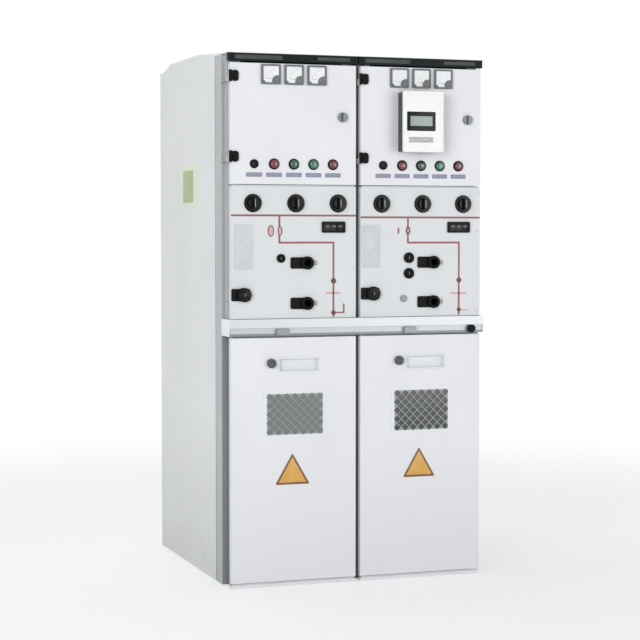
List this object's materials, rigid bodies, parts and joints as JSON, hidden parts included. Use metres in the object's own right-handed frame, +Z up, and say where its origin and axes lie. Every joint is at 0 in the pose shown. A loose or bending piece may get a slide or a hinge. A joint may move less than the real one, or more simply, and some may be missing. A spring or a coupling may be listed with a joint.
{
  "type": "high voltage switchgear",
  "caption": "Two-bay metal-enclosed medium voltage switchgear with hinged instrument and cable doors and mimic panels.",
  "frame": {"origin": "on the floor, in the middle of the plinth's four anchor holes", "axes": "+Z up, -Y towards the doors, X along the front"},
  "size_m": [1, 1.064, 1.975],
  "materials": {
    "cabinet_grey": "light grey powder coat",
    "panel_grey": "light grey powder coat",
    "plinth_steel": "grey painted channel",
    "galvanised_sheet": "aluminium-zinc coated sheet",
    "rail_aluminium": "satin",
    "black_plastic": "moulded black",
    "dark_zinc": "dark zinc",
    "zinc_steel": "zinc plated",
    "meter_grey": "dark grey bezel with pale dial",
    "lamp_plastic": "coloured lens",
    "relay_white": "off-white moulded case",
    "window_glass": "smoked pane",
    "bushing_resin": "cast epoxy resin",
    "handle_grey": "grey moulded"
  },
  "bodies": {
    "cabinet": {"plinth_rails": "plinth_steel", "plinth_cross_rails": "plinth_steel", "front_posts_left": "cabinet_grey", "side_walls_left": "cabinet_grey", "front_posts_right": "cabinet_grey", "side_walls_right": "cabinet_grey", "floor_plates": "galvanised_sheet", "cable_compartment_roofs": "galvanised_sheet", "instrument_compartment_shells": "galvanised_sheet", "back_covers": "cabinet_grey", "top_covers": "cabinet_grey", "header_strips": "black_plastic", "mechanism_panels": "panel_grey", "selector_bases": "black_plastic", "ledge_rail": "rail_aluminium", "rail_catches": "dark_zinc", "rail_knob": "black_plastic", "voltage_displays": "black_plastic", "operating_sockets": "black_plastic", "interlocks": "black_plastic", "key_locks": "dark_zinc", "hinge_arms": "black_plastic", "cable_door_pivots": "zinc_steel", "cable_bushings": "bushing_resin", "cable_clamp_rails": "zinc_steel"},
    "instrument_door_left": {"instrument_door_left": "panel_grey", "ammeters_left": "meter_grey", "indicator_lamps_left": "lamp_plastic", "instrument_door_lock_left": "dark_zinc", "hinge_leaves_left": "black_plastic"},
    "cable_door_left": {"cable_door_left": "panel_grey", "window_grille_left": "panel_grey", "window_pane_left": "window_glass", "cable_door_handle_left": "handle_grey"},
    "selector_knob_left_a": {"selector_knob_left_a": "black_plastic"},
    "selector_knob_left_b": {"selector_knob_left_b": "black_plastic"},
    "selector_knob_left_c": {"selector_knob_left_c": "black_plastic"},
    "instrument_door_right": {"instrument_door_right": "panel_grey", "ammeters_right": "meter_grey", "indicator_lamps_right": "lamp_plastic", "instrument_door_lock_right": "dark_zinc", "hinge_leaves_right": "black_plastic", "protection_relay": "relay_white"},
    "cable_door_right": {"cable_door_right": "panel_grey", "window_grille_right": "panel_grey", "window_pane_right": "window_glass", "cable_door_handle_right": "handle_grey"},
    "selector_knob_right_a": {"selector_knob_right_a": "black_plastic"},
    "selector_knob_right_b": {"selector_knob_right_b": "black_plastic"},
    "selector_knob_right_c": {"selector_knob_right_c": "black_plastic"}
  },
  "joints": [
    {"name": "instrument_door_left_hinge", "type": "hinge", "parent": "cabinet", "child": "instrument_door_left", "pos_m": [-0.493, -0.52765, 1.694], "axis": [0, 0, -1], "range_deg": [0, 105]},
    {"name": "cable_door_left_hinge", "type": "hinge", "parent": "cabinet", "child": "cable_door_left", "pos_m": [-0.482, -0.50815, 0.4675], "axis": [0, 0, -1], "range_deg": [0, 105]},
    {"name": "selector_knob_left_a_turn", "type": "hinge", "parent": "cabinet", "child": "selector_knob_left_a", "pos_m": [-0.407, -0.52065, 1.407], "axis": [0, -1, 0], "range_deg": [-45, 45]},
    {"name": "selector_knob_left_b_turn", "type": "hinge", "parent": "cabinet", "child": "selector_knob_left_b", "pos_m": [-0.243, -0.52065, 1.407], "axis": [0, -1, 0], "range_deg": [-45, 45]},
    {"name": "selector_knob_left_c_turn", "type": "hinge", "parent": "cabinet", "child": "selector_knob_left_c", "pos_m": [-0.079, -0.52065, 1.407], "axis": [0, -1, 0], "range_deg": [-45, 45]},
    {"name": "instrument_door_right_hinge", "type": "hinge", "parent": "cabinet", "child": "instrument_door_right", "pos_m": [0.007, -0.52765, 1.694], "axis": [0, 0, -1], "range_deg": [0, 105]},
    {"name": "cable_door_right_hinge", "type": "hinge", "parent": "cabinet", "child": "cable_door_right", "pos_m": [0.018, -0.50815, 0.4675], "axis": [0, 0, -1], "range_deg": [0, 105]},
    {"name": "selector_knob_right_a_turn", "type": "hinge", "parent": "cabinet", "child": "selector_knob_right_a", "pos_m": [0.093, -0.52065, 1.407], "axis": [0, -1, 0], "range_deg": [-45, 45]},
    {"name": "selector_knob_right_b_turn", "type": "hinge", "parent": "cabinet", "child": "selector_knob_right_b", "pos_m": [0.257, -0.52065, 1.407], "axis": [0, -1, 0], "range_deg": [-45, 45]},
    {"name": "selector_knob_right_c_turn", "type": "hinge", "parent": "cabinet", "child": "selector_knob_right_c", "pos_m": [0.421, -0.52065, 1.407], "axis": [0, -1, 0], "range_deg": [-45, 45]}
  ]
}
